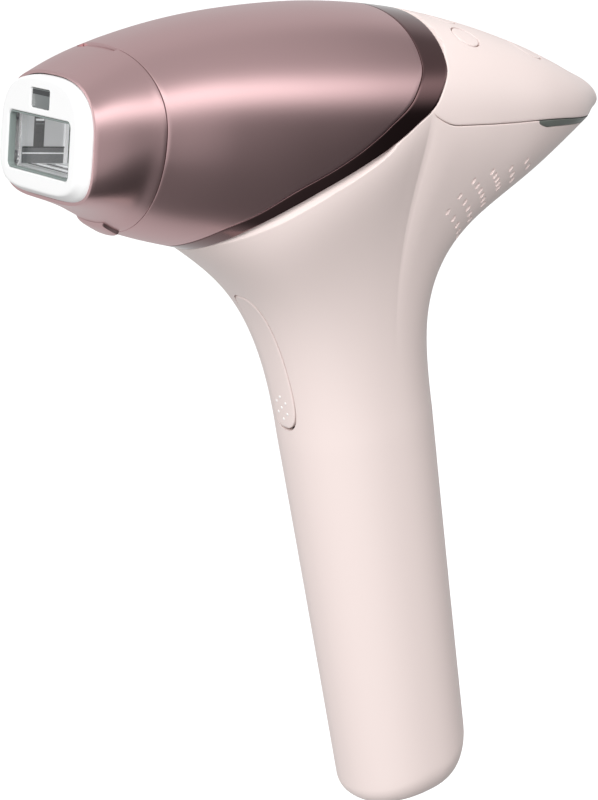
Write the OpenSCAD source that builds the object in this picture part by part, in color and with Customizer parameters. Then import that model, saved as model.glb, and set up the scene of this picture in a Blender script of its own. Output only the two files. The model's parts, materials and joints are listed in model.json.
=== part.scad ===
// Hand-held light-pulse hair remover: treatment head on a raked handle.
// Row frame, mm: origin at the power inlet mouth on the handle axis, +X to one side,
// the treatment window faces -Y, +Z up.

/* [Show] */
// which node to build

/* [Head] */
// distance from the window face back to the inlet axis
nose_to_axis = 131; // [120:0.5:140]
// height of the window centre above the inlet mouth
window_height = 181; // [165:0.5:195]
// wall thickness of the moulded shells
wall = 2; // [1.5:0.1:2.5]
// side-to-side fullness added to every head station
head_width_trim = 0; // [-2:0.1:2]
// clear width of the treatment window
window_w = 30.3; // [26:0.1:32]
// clear height of the treatment window
window_h = 14.1; // [11:0.1:15]

/* [Handle] */
// backward lean of the handle
handle_rake = 14.8; // [10:0.1:20]
// half depth of the handle at the foot, middle and top
foot_half_depth = 19.2; // [17:0.1:22]
// half depth where the handle meets the flare
top_half_depth = 22; // [19:0.1:25]
// width of the handle as a share of its depth
handle_width_ratio = 0.83; // [0.7:0.01:1]
// height on the handle axis where the flare begins
flare_start = 111; // [95:1:125]

/* [Controls] */
// radius of the three round keys
key_r = 4; // [3:0.1:5]
// radius of the on-off key
power_key_r = 5.2; // [4:0.1:6.5]
// travel of every key
key_travel = 0.5; // [0.3:0.05:0.8]
// running gap around keys and trigger
key_gap = 0.2; // [0.12:0.01:0.4]

/* [Power] */
// inner radius of the power inlet
inlet_r = 4.4; // [3:0.1:5]
// depth of the power inlet
inlet_depth = 7; // [5:0.5:9]

/* [Hidden] */
eps = 0.05;

// ---- head stations, measured back from the window face ----
st_pos = [0, 10, 21, 40, 60, 80, 100, 120, 140, 160, 172, 180];
st_half = [21.7, 23.4, 25, 28.4, 31.2, 32.8, 32.6, 30.6, 26.6, 18.6, 11.35, 8.16];
st_top = [16.15, 22.4, 27.2, 32.6, 36.1, 37.9, 37.6, 34.9, 30.3, 24.28, 22.65, 16.9];
st_low = [-12.2, -15.4, -20.9, -25.2, -28.4, -30.4, -31.6, -31, -20, -3.2, 6.4, 10];
st_mid = [2, 3.2, 4.4, 6, 7.4, 8.6, 9.7, 10.4, 11.3, 11.3, 11.5, 10.7];
tail_from = 150;
tail_end = 173;
tail_pow = 2.65;
tip_gap = 0.06;
pow_top = 2.25;
pow_low = 2.05;
pow_low_nose = 5.65;
pow_top_nose = 2.73;
// ---- trim band edges: angle from the top, distance back ----
band_ang = [0, 60, 75, 84, 96, 104, 114, 126, 140, 160, 180];
band_rear = [101.5, 101.2, 98, 94.3, 82.9, 74.2, 64.3, 55.4, 48.5, 43.2, 42.3];
band_front = [92, 92.8, 89.7, 85.6, 75.2, 67.4, 57.6, 50, 42.6, 37.8, 37];
corner_ang = 84;
corner_pos = 94.3;

function seg(X, x) = len([for (j = [1:len(X) - 2]) if (x >= X[j]) 1]);
function slp(X, Y, i, flat) = let (n = len(X) - 1)
    (i == 0 || i == n) ? (flat ? 0 : i == 0 ? (Y[1] - Y[0]) / (X[1] - X[0])
        : (Y[n] - Y[n - 1]) / (X[n] - X[n - 1]))
    : (Y[i + 1] - Y[i - 1]) / (X[i + 1] - X[i - 1]);
function fair(x, X, Y, flat = false) = let (i = seg(X, x), h = X[i + 1] - X[i],
    t = min(1, max(0, (x - X[i]) / h)), t2 = t * t, t3 = t2 * t)
    (2 * t3 - 3 * t2 + 1) * Y[i] + (t3 - 2 * t2 + t) * h * slp(X, Y, i, flat)
    + (3 * t2 - 2 * t3) * Y[i + 1] + (t3 - t2) * h * slp(X, Y, i + 1, flat);
function spow(x, n) = x < 0 ? -pow(-x, n) : pow(x, n);
function lerp(a, b, t) = a + (b - a) * t;
function clamp01(x) = min(1, max(0, x));

function low_pow(s) = pow_low + (pow_low_nose - pow_low) * pow(1 - clamp01(s / 18), 1.12);
function top_pow(s) = pow_top + (pow_top_nose - pow_top) * pow(1 - clamp01(s / 18), 1.1);
// point of the head skin: s back from the window face, a from the top, t inward
function skin(s, a, t = 0) = let (
    k = s <= tail_from ? 1 : sqrt(max(0, 1 - pow((s - tail_from) / (tail_end - t - tail_from), tail_pow))),
    m = fair(s, st_pos, st_mid), c = cos(a),
    w = (fair(s, st_pos, st_half) + head_width_trim - t) * k,
    h = c >= 0 ? (fair(s, st_pos, st_top) - t - m) * k : (m - fair(s, st_pos, st_low) - t) * k,
    n = c >= 0 ? top_pow(s) : low_pow(s))
    [w * spow(sin(a), 2 / n), s - nose_to_axis, m + h * spow(c, 2 / n) + window_height];
function band_r(a) = fair(abs(a), band_ang, band_rear, true);
function band_f(a) = fair(abs(a), band_ang, band_front, true);
function seam_s(a) = 21 - 5.5 * pow(max(0, cos(a)), 2);
function seam_ang(s) = let (u = clamp01((s - corner_pos) / 9.5)) corner_ang + 6 * u * (2 - u);

// ---- handle and flare skin: th from the front (0) round the side to the rear (180) ----
han_pos = [0, 60, flare_start, flare_start + 40];
han_half = [foot_half_depth, (foot_half_depth + top_half_depth) / 2, top_half_depth, top_half_depth + 1.3];
pow_han = 2.2;
th_corner = 180 - corner_ang;
front_dip = 29.3;
rear_dip = 27.5;
len_top = [23, 15, 56];
len_low = [38.9, 50.6, 73.2];
socket_r = 8;
function frs(th, L3) = let (c = cos(th)) L3[1] + ((c > 0 ? L3[0] : L3[2]) - L3[1]) * c * c;
function on_handle(x, v, q) = [x, v * cos(handle_rake) - q * sin(handle_rake),
    v * sin(handle_rake) + q * cos(handle_rake)];
function hsec(q, th, t, inset = 0) = let (a = fair(q, han_pos, han_half) - t - inset,
    b = fair(q, han_pos, han_half) * handle_width_ratio - t - inset)
    on_handle(b * spow(sin(th), 2 / pow_han), -a * spow(cos(th), 2 / pow_han), q);
function rim_pt(th, t, g) = th <= th_corner ? skin(band_r(180 - th) + g, 180 - th, t)
    : let (u = (th - th_corner) / (180 - th_corner), e = tail_end - t - tip_gap - g,
        s = lerp(corner_pos + g, e, sin(90 * u)), p = skin(s, seam_ang(s), t))
    [th >= 180 ? 0 : p[0], p[1], p[2] - g];
function unit(v) = v / norm(v);
function flare(th, v, t, g = 0) = let (
    p0 = rim_pt(th, t, g), p3 = hsec(flare_start, th, t), c = cos(th),
    wf = c > 0 ? pow(c, 1.6) : 0, wr = c < 0 ? pow(-c, 2.2) : 0,
    t0 = unit(wf * [0, cos(front_dip), -sin(front_dip)] + wr * [0, -cos(rear_dip), -sin(rear_dip)]
        + (1 - wf - wr) * [0, 0, -1]),
    p1 = p0 + frs(th, len_top) * t0, p2 = p3 + frs(th, len_low) * on_handle(0, 0, 1), w = 1 - v)
    w * w * w * p0 + 3 * w * w * v * p1 + 3 * w * v * v * p2 + v * v * v * p3;
function end_h(th) = let (c = cos(th)) c > 0 ? 9 - 3 * c : 9 + 7 * c * c;
function end_i(th) = let (c = cos(th)) c > 0 ? 6 : 6 + 3 * c * c;
n_fl = 14;
n_ha = 5;
n_en = 5;
function rib_pt(th, i, t, g) = i <= n_fl ? flare(th, i / n_fl, t, g)
    : i <= n_fl + n_ha ? hsec(lerp(flare_start, end_h(th), (i - n_fl) / n_ha), th, t)
    : i <= n_fl + n_ha + n_en ? let (b = 90 * (i - n_fl - n_ha) / n_en)
        hsec(t + (end_h(th) - t) * (1 - sin(b)), th, t, (end_i(th) - t) * (1 - cos(b)))
    : on_handle((socket_r + 0.1) * sin(th), -(socket_r + 0.1) * cos(th), t);
n_row = n_fl + n_ha + n_en + 1;
// shares of the rear seam, close together where it dips and where the tail rounds
tail_w = [0.03, 0.06, 0.09, 0.12, 0.2, 0.3, 0.42, 0.54, 0.65, 0.75, 0.83, 0.89, 0.94, 0.975, 0.993, 1];
th_list = [for (i = [0:16]) th_corner * i / 16,
    for (w = tail_w) th_corner + (180 - th_corner) * asin(w) / 90];

// closed solid between two point grids; wrap joins the last column to the first
module grid_solid(O, I, wrap = false, flip = false) {
    nr = len(O); nc = len(O[0]);
    pts = [for (r = O) for (p = r) p, for (r = I) for (p = r) p];
    n = nr * nc;
    jl = wrap ? nc - 1 : nc - 2;
    quads = [
        for (i = [0:nr - 2]) for (j = [0:jl]) let (k = (j + 1) % nc)
            [i * nc + j, i * nc + k, (i + 1) * nc + k, (i + 1) * nc + j],
        for (i = [0:nr - 2]) for (j = [0:jl]) let (k = (j + 1) % nc)
            [n + i * nc + j, n + (i + 1) * nc + j, n + (i + 1) * nc + k, n + i * nc + k],
        for (j = [0:jl]) let (k = (j + 1) % nc) [j, n + j, n + k, k],
        for (j = [0:jl]) let (k = (j + 1) % nc, a = (nr - 1) * nc) [a + k, n + a + k, n + a + j, a + j],
        if (!wrap) for (i = [0:nr - 2]) [i * nc, (i + 1) * nc, n + (i + 1) * nc, n + i * nc],
        if (!wrap) for (i = [0:nr - 2]) let (a = i * nc + nc - 1) [a, n + a, n + a + nc, a + nc]];
    tris = [for (q = quads) each [[q[0], q[1], q[2]], [q[0], q[2], q[3]]]];
    polyhedron(points = pts, faces = [for (f = tris) flip ? [f[2], f[1], f[0]] : f], convexity = 8);
}
module in_head() translate([0, -nose_to_axis, window_height]) children();
module in_handle() rotate([handle_rake, 0, 0]) children();
// box by low and high corners
module slab(a, b) translate(a) cube(b - a);
// cylinder along +Y from a point
module rod_y(p, r, h) translate(p) rotate([-90, 0, 0]) cylinder(r = r, h = h, $fn = 48);
module rod_x(p, r, h) translate(p) rotate([0, 90, 0]) cylinder(r = r, h = h, $fn = 48);

rose = [0.62, 0.49, 0.50];
pale = [0.90, 0.84, 0.82];
white = [0.95, 0.95, 0.95];
dark = [0.18, 0.12, 0.13];
metal = [0.75, 0.76, 0.78];
board = [0.10, 0.32, 0.20];
grey = [0.35, 0.36, 0.38];

// ---------------- front attachment ----------------
n_wr = 60;
function ring_a(j) = 360 * j / n_wr;
function att_wall(s) = 0.8 + 1.2 * clamp01((s - 3) / 6);
att_front = 3;
module attachment_shell() color(rose) {
    rows = [0, 0.12, 0.33, 0.66, 1];
    grid_solid([for (u = rows) [for (j = [0:n_wr - 1]) let (a = ring_a(j))
            skin(lerp(att_front, seam_s(a), u), a)]],
        [for (u = rows) [for (j = [0:n_wr - 1]) let (a = ring_a(j), s = lerp(att_front, seam_s(a), u))
            skin(s, a, att_wall(s))]], wrap = true);
}
// plate with the section of the head skin at s0, shrunk by t, running back to s1
module skin_plate(s0, s1, t) translate([0, s1 - nose_to_axis, 0]) rotate([90, 0, 0])
    linear_extrude(s1 - s0) polygon([for (j = [0:n_wr - 1]) let (p = skin(s0, ring_a(j), t)) [p[0], p[2]]]);
bulk_s = 12.5;
collar_end = 27;
module attachment_bulkhead() color(grey) difference() {
    union() {
        skin_plate(bulk_s, bulk_s + 2, 2.6);
        intersection() {
            in_head() slab([-17.2, bulk_s + 2 - eps, -9.1], [17.2, collar_end, 9.1]);
            skin_plate(bulk_s, collar_end + 1, 2.6);
        }
    }
    in_head() slab([-16.1, bulk_s + 1, -8], [16.1, collar_end + 1, 8]);
    in_head() slab([-15.2, bulk_s - 1, win_z - 7], [15.2, bulk_s + 3, win_z + 7]);
}
glass_s = 3;
win_z = 0.3;
duct_end = 20.5;
// catch under the attachment, laid on its skin
module release_catch() color(rose) {
    ss = [15.6, 16.1, 16.9, 18.4, 20.5, 20.9];
    drop = [0.2, 0.85, 1.05, 1.1, 1.15, 0.2];
    as = [for (j = [-4:4]) 180 + 3.4 * j];
    grid_solid([for (i = [0:5]) [for (a = as) skin(ss[i], a, -drop[i])]],
        [for (i = [0:5]) [for (a = as) skin(ss[i], a, -0.1)]]);
}
module light_duct() color(metal) in_head() difference() {
    slab([-15.1, glass_s + 1.3, win_z - 6.9], [15.1, duct_end, win_z + 6.9]);
    slab([-14.5, glass_s, win_z - 6.3], [14.5, duct_end + 1, win_z + 6.3]);
}
module window_glass() color([0.8, 0.9, 0.9, 0.4]) in_head()
    slab([-14.9, glass_s, win_z - 6.75], [14.9, glass_s + 1.2, win_z + 6.75]);

// slice of the white nose piece
module nose_slice(s, w, t, b, n, nu, m = 2.4) translate([0, s + 0.01 - nose_to_axis, window_height])
    rotate([90, 0, 0]) linear_extrude(0.02) polygon([for (j = [0:47]) let (a = 7.5 * j, c = cos(a))
        [w * spow(sin(a), 2 / (c >= 0 ? nu : n)),
        m + (c >= 0 ? (t - m) * spow(c, 2 / nu) : (m - b) * spow(c, 2 / n))]]);
module round_slot(w, h, r, s0, s1, z = 0) in_head() hull() for (x = [-1, 1]) for (k = [-1, 1])
    rod_y([x * (w / 2 - r), s0, z + k * (h / 2 - r)], r, s1 - s0);
sens_w = 9.3;
sens_h = 4.75;
sens_z = 11.4;
module contact_frame() color(white) difference() {
    union() {
        hull() { nose_slice(0.02, 18, 16.2, -10.4, 4.5, 2.85); nose_slice(0.7, 19.3, 16.6, -11.1, 4.6, 2.8); }
        hull() { nose_slice(0.7, 19.3, 16.6, -11.1, 4.6, 2.8); nose_slice(3, 21.1, 17.05, -12.25, 4.9, 2.64); }
        hull() { nose_slice(3, 21.1, 17.05, -12.25, 4.9, 2.64); nose_slice(8, 20.5, 17, -12, 3.8, 2.4); }
    }
    hull() { nose_slice(2, 18.2, 15, -9.8, 4.3, 2.7); nose_slice(3.2, 19.9, 15.85, -11.05, 4.5, 2.64); }
    hull() { nose_slice(3.2, 19.9, 15.85, -11.05, 4.5, 2.64); nose_slice(8.2, 19.3, 15.8, -10.8, 3.8, 2.4); }
    round_slot(window_w, window_h, 1.6, -1, 4, win_z);
    round_slot(sens_w, sens_h, 0.5, -1, 4, sens_z);
    for (x = [-1, 1]) in_head() hull() { rod_y([x * 12.5, 1.2, 11], 0.6, 3); rod_y([x * 13.5, 1.2, 10.5], 0.6, 3); }
}
module window_gasket() color([0.55, 0.6, 0.58]) in_head() difference() {
    hull() for (x = [-1, 1]) for (k = [-1, 1])
        rod_y([x * (window_w / 2 - 1.6), 0.3, win_z + k * (window_h / 2 - 1.6)], 1.56, 1.7);
    hull() for (x = [-1, 1]) for (k = [-1, 1])
        rod_y([x * (window_w / 2 - 1.6), 0, win_z + k * (window_h / 2 - 1.6)], 1.1, 3);
}
module skin_sensor_window() color([0.45, 0.47, 0.48]) in_head()
    slab([0.05 - sens_w / 2, 0.45, sens_z + 0.05 - sens_h / 2], [sens_w / 2 - 0.05, 1.9, sens_z + sens_h / 2 - 0.05]);
spring_xz = [[-17, 6], [17, 6], [-17, -4.5], [17, -4.5]];
module contact_springs() color(metal) in_head() for (p = spring_xz) for (i = [0:4])
    translate([p[0], 3.7 + 2.05 * i, p[1]]) rotate([90, 0, 0])
        rotate_extrude($fn = 24) translate([1.3, 0]) circle(r = 0.3, $fn = 12);

// ---------------- head shells ----------------
module head_cover() color(rose) {
    rows = [for (i = [0:7]) i / 7];
    grid_solid([for (u = rows) [for (j = [0:n_wr - 1]) let (a = 360 * j / n_wr, b = a > 180 ? 360 - a : a)
            skin(lerp(seam_s(a) + 0.15, band_f(b) - 0.1, u), a)]],
        [for (u = rows) [for (j = [0:n_wr - 1]) let (a = 360 * j / n_wr, b = a > 180 ? 360 - a : a)
            skin(lerp(seam_s(a) + 0.15, band_f(b) - 0.1, u), a, wall)]], wrap = true);
}
module trim_band() color(dark) {
    rows = [0, 0.5, 1];
    grid_solid([for (u = rows) [for (j = [0:n_wr - 1]) let (a = ring_a(j), b = a > 180 ? 360 - a : a)
            skin(lerp(band_f(b), band_r(b) - 0.1, u), a)]],
        [for (u = rows) [for (j = [0:n_wr - 1]) let (a = ring_a(j), b = a > 180 ? 360 - a : a)
            skin(lerp(band_f(b), band_r(b) - 0.1, u), a, wall)]], wrap = true);
}
// capsule cutter for one vent at a place on the flare
module vent_cut(th, v) {
    p = flare(th, v, -1); q = flare(th, v + 0.012, -1);
    r = flare(th, v, 3.2); s = flare(th, v + 0.012, 3.2);
    hull() for (k = [p, q, r, s]) translate(k) sphere(r = 0.62, $fn = 8);
}
vent_rows = [[109, 0.408, 126, 0.522, 5], [110.3, 0.335, 123.9, 0.439, 5], [111.9, 0.259, 123.9, 0.362, 6],
    [116.4, 0.206, 124.1, 0.276, 5], [122.7, 0.183, 128.1, 0.232, 3], [127.6, 0.144, 130.9, 0.165, 2]];
trig_v0 = 0.404;
trig_v1 = 0.957;
function trig_th(w) = (10.3 + 4.5 * w) * pow(max(0, 1 - pow(abs(2 * w - 1), w < 0.5 ? 5 : 9)), 1 / 2.2);
// leaf-shaped patch of the flare skin between two depths, grown all round
module trig_patch(t0, t1, grow_th, grow_v, n = 14, m = 8) {
    ws = [for (i = [0:n]) 0.5 - 0.5 * cos(180 * i / n)];
    O = [for (w = ws) [for (j = [-m:m]) let (th = (trig_th(w) + grow_th) * j / m,
        v = lerp(trig_v0 - grow_v, trig_v1 + grow_v, w), p = flare(abs(th), v, t0))
        [th < 0 ? -p[0] : p[0], p[1], p[2]]]];
    I = [for (w = ws) [for (j = [-m:m]) let (th = (trig_th(w) + grow_th) * j / m,
        v = lerp(trig_v0 - grow_v, trig_v1 + grow_v, w), p = flare(abs(th), v, t1))
        [th < 0 ? -p[0] : p[0], p[1], p[2]]]];
    grid_solid(O, I);
}
lens_th = 125;
lens_drop = 2;
function lens_v(th, d) = d / (3 * frs(th, len_top));
// strip just under the rear seam, th0 to the tail, from skin depth t0 to t1
module lens_half(th0, t0, t1, d0, d1, n = 14) {
    ths = [for (i = [0:n]) lerp(th0, 180, i / n)];
    grid_solid([for (k = [0:2]) [for (th = ths) flare(th, lens_v(th, lerp(d0, d1, k / 2)), t0, 0.2)]],
        [for (k = [0:2]) [for (th = ths) flare(th, lens_v(th, lerp(d0, d1, k / 2)), t1, 0.2)]]);
}
module body_half() difference() {
    grid_solid([for (i = [0:n_row]) [for (th = th_list) rib_pt(th, i, 0, 0.2)]],
        [for (i = [0:n_row]) [for (th = th_list) rib_pt(th, i, wall, 0.2)]]);
    for (r = vent_rows) for (k = [0:r[4] - 1])
        vent_cut(lerp(r[0], r[2], k / (r[4] - 1)), lerp(r[1], r[3], k / (r[4] - 1)));
    trig_patch(-1.5, wall + 1.5, 0.9, 0.006);
    lens_half(lens_th - 0.5, -0.6, wall + 1, -1.2, lens_drop + 0.12);
}
module body_shell_right() color(pale) body_half();
module body_shell_left() color(pale) mirror([1, 0, 0]) body_half();
module status_light_lens() color([0.4, 0.42, 0.4]) {
    lens_half(lens_th, 0, wall, 0.02, lens_drop);
    mirror([1, 0, 0]) lens_half(lens_th, 0, wall, 0.02, lens_drop);
}
// keys: [station back from the nose, angle from the top, radius]
key_side = [113.75, 35.5, key_r];
key_mid = [113.5, 13.5, key_r];
key_power = [140, 25, power_key_r];
function key_p(k) = skin(k[0], k[1]);
function key_n(k) = let (a = skin(k[0] + 1, k[1]) - skin(k[0] - 1, k[1]), b = skin(k[0], k[1] + 2) - skin(k[0], k[1] - 2))
    unit(cross(b, a)[2] > 0 ? cross(b, a) : cross(a, b));
// put +Z along the key's outward axis, origin on the skin
module at_key(k) { n = key_n(k); translate(key_p(k)) rotate([0, acos(n[2]), atan2(n[1], n[0])]) children(); }
module key_hole(k) at_key(k) hull() {
    translate([0, 0, -4]) cylinder(r = k[2] + key_gap, h = 1, $fn = 48);
    translate([0, 0, 4]) cylinder(r = k[2] + key_gap, h = 1, $fn = 48);
}
module key_cap(k) at_key(k) {
    translate([0, 0, -3.2]) cylinder(r = k[2], h = 3.2, $fn = 48);
    translate([0, 0, -4.4]) cylinder(r = k[2] + 0.6, h = 1.2, $fn = 48);
}
module rear_cover() color(pale) difference() {
    m = 14;
    us = [0, each tail_w];
    O = [for (u = us) [for (j = [-m:m]) cover_pt(u, j / m, 0)]];
    I = [for (u = us) [for (j = [-m:m]) cover_pt(u, j / m, wall)]];
    grid_solid(O, I);
    for (k = [key_side, key_mid, key_power]) key_hole(k);
    mirror([1, 0, 0]) key_hole(key_side);
    // shallow ring recess round every key
    for (k = [key_mid, key_power, key_side]) at_key(k) hull() cylinder(r = k[2] + 0.45, h = 2, $fn = 48);
    mirror([1, 0, 0]) at_key(key_side) hull() cylinder(r = key_side[2] + 0.45, h = 2, $fn = 48);
}
function cover_pt(u, f, t) = let (e = tail_end - t - tip_gap, sc = lerp(corner_pos, e, u),
    a = seam_ang(sc) * f, s = lerp(band_r(corner_ang * abs(f)), e, u)) skin(s, a, t);
module button_minus() color(pale) key_cap([key_side[0], -key_side[1], key_side[2]]);
module button_plus() color(pale) key_cap(key_side);
module button_smart() color(pale) key_cap(key_mid);
module power_button() color(pale) key_cap(key_power);
module key_domes() color(grey) {
    at_key(key_mid) translate([0, 0, -9.85]) cylinder(r = 2.2, h = 4.85, $fn = 32);
    at_key(key_power) translate([0, 0, -10.1]) cylinder(r = 2.2, h = 5.1, $fn = 32);
    for (x = [-1, 1]) at_key([key_side[0], x * key_side[1], key_side[2]]) translate([0, 0, -6.45])
        cylinder(r = 2.2, h = 1.35, $fn = 32);
}
board_tilt = -14.3;
module on_board() translate([0, 121 - nose_to_axis, 22.8 + window_height]) rotate([board_tilt, 0, 0]) children();
module control_board() color(board) on_board() union() {
    slab([-13, -6, -1.2], [13, 36, 0]);
    slab([-18, -11, -1.2], [18, -6 + eps, 0]);
    slab([-5, 10, -2.2], [3, 18, -1.2 + eps]);
}
// ---------------- trigger ----------------
// pivot pin: y and z of its centre
pivot_y = -60.6;
pivot_z = 142.6;
pin_r = 1;
module at_pivot() translate([0, pivot_y, pivot_z]) children();
module trigger() color(pale) trig_patch(-0.25, 1.6, 0, 0);
module trigger_carrier() color(grey) difference() {
    union() {
        for (x = [-2.6, 1.4]) at_pivot() rod_x([x, 0, 0], 2, 1.2);
        at_pivot() for (x = [-2.6, 1.4]) rotate([25, 0, 0]) slab([x, -1.2, -24], [x + 1.2, 1.2, 0]);
        at_pivot() rotate([25, 0, 0]) slab([-2.6, -1.2, -24], [2.6, 1.2, -20]);
    }
    at_pivot() rod_x([-4, 0, 0], pin_r + 0.05, 8);
}
module trigger_pin() color(metal) at_pivot() rod_x([-4.6, 0, 0], pin_r, 9.2);
module trigger_bracket() color(grey) difference() {
    union() {
        at_pivot() for (x = [-4.4, 3]) slab([x, -2, -2], [x + 1.4, 9, 2]);
        at_pivot() slab([-4.4, 7, -4], [4.4, 9, 4]);
    }
    at_pivot() rod_x([-6, 0, 0], pin_r, 12);
}
module trigger_switch() color(dark) in_handle() slab([-3, -17.4, 113], [3, -12.4, 121]);
module trigger_spring() color(metal) in_handle() for (i = [0:3])
    translate([0, -16.4 + 1.3 * i, 131]) rotate([90, 0, 0])
        rotate_extrude($fn = 24) translate([1.5, 0]) circle(r = 0.25, $fn = 12);

// ---------------- inside the head ----------------
rail_x = 22.5;
module chassis() color(grey) union() {
    in_head() for (x = [-1, 1]) slab([x * rail_x - 1, 29, -2], [x * rail_x + 1, 95, 6]);
    in_head() difference() {
        slab([-23.5, 66, -14], [23.5, 68, 16.9]);
        rod_y([0, 65, 0], 12, 4);
    }
    in_head() for (x = [-1, 1]) for (s = [52, 90]) difference() {
        translate([x * rail_x, s, 6 - eps]) cylinder(r = 2.2, h = 11 - 0.1 + eps, $fn = 32);
        translate([x * rail_x, s, 8]) cylinder(r = 0.95, h = 12, $fn = 32);
    }
}
lamp_s = 53;
module lamp_housing() color([0.85, 0.85, 0.82]) in_head() difference() {
    union() {
        slab([-15.7, 22.5, -7.6], [15.7, 30, 7.6]);
        slab([-17.5, 30 - eps, -8.6], [17.5, 44, 8.6]);
        slab([-20, 44 - eps, -11], [20, 63, 11]);
    }
    slab([-14.5, 22, -6.4], [14.5, 64, 6.4]);
    slab([-16.2, 38.4, -7.6], [16.2, 41.1, 7.6]);
    slab([-18.4, 45.5, -8.4], [18.4, 61, 8.4]);
}
module uv_filter() color([0.9, 0.75, 0.5, 0.5]) in_head() slab([-16, 38.8, -7.4], [16, 40.8, 7.4]);
module lamp_reflector() color([0.9, 0.9, 0.92]) in_head() difference() {
    rod_x([-16.5, lamp_s, 0], 7.2, 33);
    rod_x([-17, lamp_s, 0], 6.6, 34);
    slab([-18, lamp_s - 9, -9], [18, lamp_s, 9]);
}
module flash_lamp() color([0.9, 0.93, 0.95, 0.5]) in_head() {
    rod_x([-14, lamp_s, 0], 2.6, 28);
    rod_x([-18.3, lamp_s, 0], 1.8, 4.3 + eps);
    rod_x([14 - eps, lamp_s, 0], 1.8, 4.3 + eps);
}
module heat_sink() color([0.7, 0.71, 0.72]) in_head() union() {
    slab([-19, 70, -14], [19, 72, 14]);
    for (i = [0:9]) slab([-19 + i * 4.08, 72 - eps, -14], [-17.7 + i * 4.08, 90, 14]);
}
fan_s = 97;
fan_z = 2;
module fan_frame() color(dark) in_head() {
    difference() {
        slab([-20, fan_s, fan_z - 20], [20, fan_s + 10, fan_z + 20]);
        rod_y([0, fan_s - 1, fan_z], 18.6, 12);
    }
    for (a = [45, 135]) translate([0, fan_s + 8.6, fan_z]) rotate([0, a, 0]) slab([-18.7, 0, -1.2], [18.7, 1.4, 1.2]);
    rod_y([0, fan_s + 1.5, fan_z], 1, 8.5);
}
module fan_rotor() color(dark) in_head() difference() {
    union() {
        rod_y([0, fan_s + 0.6, fan_z], 8.5, 7.4);
        for (i = [0:6]) translate([0, fan_s + 4.3, fan_z]) rotate([0, i * 360 / 7, 0]) rotate([0, 0, 0])
            translate([7.8, 0, 0]) rotate([38, 0, 0]) slab([0, -0.5, -3.6], [10, 0.5, 3.6]);
    }
    rod_y([0, fan_s + 1.2, fan_z], 1.05, 9);
}
module main_board() color(board) in_head() difference() {
    union() {
        slab([-24.5, 49, 17], [24.5, 94, 18.6]);
        slab([-15, 56, 18.6 - eps], [-3, 70, 25]);
        slab([4, 56, 18.6 - eps], [14, 62, 23]);
        slab([-10, 76, 18.6 - eps], [-2, 84, 20.2]);
        slab([4, 72, 18.6 - eps], [12, 88, 21]);
    }
    for (x = [-1, 1]) for (s = [52, 90]) translate([x * rail_x, s, 10]) cylinder(r = 1.15, h = 12, $fn = 32);
}
module board_screws() color(metal) in_head() for (x = [-1, 1]) for (s = [52, 90]) translate([x * rail_x, s, 0]) {
    translate([0, 0, 10]) cylinder(r = 0.95, h = 8.6 + eps, $fn = 32);
    translate([0, 0, 18.6]) cylinder(r = 1.8, h = 1.2, $fn = 32);
}
module sensor_board() color(board) in_head() slab([-5.5, 3.2, 13.2], [5.5, 12.5, 14.2]);
module flat_cable() color([0.85, 0.8, 0.6]) in_head() union() {
    slab([-4, 92, 18.65], [4, 95.4, 18.95]);
    slab([-4, 95.1, 18.65], [4, 95.4, 22.6]);
    slab([-4, 95.1, 22.3], [4, 113, 22.6]);
    slab([-4, 112.7, 22.3], [4, 113, 23.4]);
}
// ---------------- inside the handle ----------------
module flash_capacitor() color([0.15, 0.16, 0.2]) in_handle() union() {
    translate([0, 4, 84]) cylinder(r = 12.5, h = 45, $fn = 64);
    for (x = [-4, 4]) translate([x, 4, 82.2]) cylinder(r = 0.6, h = 2, $fn = 24);
}
cell_r = 8.2;
module battery_cells() color([0.25, 0.35, 0.55]) in_handle() for (v = [-1, 1])
    translate([0, v * (cell_r + 0.05), 14]) cylinder(r = cell_r, h = 65, $fn = 64);
module battery_holder() color(grey) in_handle() union() {
    slab([-9, -14, 12], [9, 14, 13.9]);
    slab([-9, -14, 79.1], [9, 14, 81]);
    for (x = [-10.4, 9 - eps]) slab([x, -4, 12], [x + 1.4 + eps, 4, 81]);
}
module power_socket() color(dark) in_handle() difference() {
    cylinder(r = socket_r, h = 9.5, $fn = 64);
    translate([0, 0, -1]) cylinder(r = inlet_r, h = inlet_depth + 1, $fn = 64);
}

attachment_shell();
attachment_bulkhead();
release_catch();
light_duct();
window_glass();
contact_frame();
window_gasket();
skin_sensor_window();
contact_springs();
head_cover();
trim_band();
body_shell_right();
body_shell_left();
rear_cover();
status_light_lens();
button_minus();
button_plus();
button_smart();
power_button();
key_domes();
control_board();
trigger();
trigger_carrier();
trigger_pin();
trigger_bracket();
trigger_switch();
trigger_spring();
chassis();
lamp_housing();
lamp_reflector();
flash_lamp();
uv_filter();
heat_sink();
fan_frame();
fan_rotor();
main_board();
board_screws();
flash_capacitor();
battery_cells();
battery_holder();
power_socket();
sensor_board();
flat_cable();
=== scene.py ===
import bpy
import json
import math
import numpy as np
from mathutils import Matrix, Vector
from mathutils.bvhtree import BVHTree


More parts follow.
